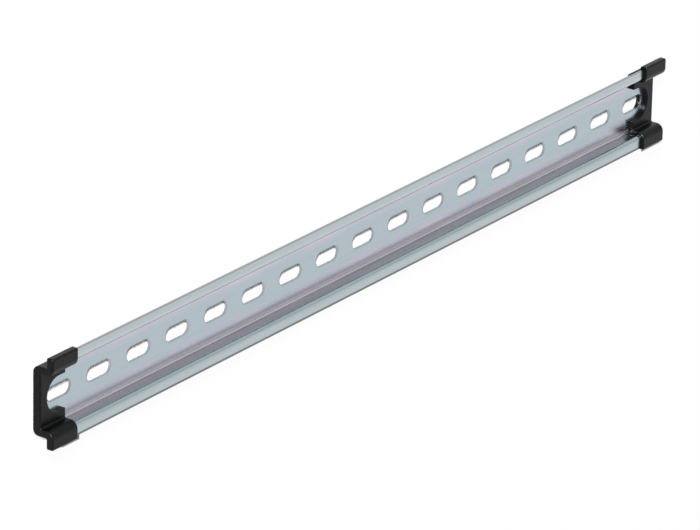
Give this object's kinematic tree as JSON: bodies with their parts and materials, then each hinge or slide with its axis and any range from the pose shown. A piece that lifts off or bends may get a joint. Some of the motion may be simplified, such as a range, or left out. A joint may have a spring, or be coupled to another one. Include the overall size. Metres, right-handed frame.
{
  "type": "din rail",
  "caption": "Slotted top-hat mounting rail of zinc plated steel, open side up, with a black moulded sleeve cap closing each end.",
  "frame": {"origin": "middle of the length and width, at the level of the caps' flat backs", "axes": "+X along the rail, +Y across it, +Z out of the open side of the hat"},
  "size_m": [0.4274, 0.0374, 0.0098],
  "materials": {
    "zinc_steel": "bright zinc plated, satin, roll formed",
    "black_plastic": "fine matt moulding texture"
  },
  "bodies": {
    "root": {"rail": "zinc_steel", "end_cap_left": "black_plastic", "end_cap_right": "black_plastic"}
  },
  "joints": []
}
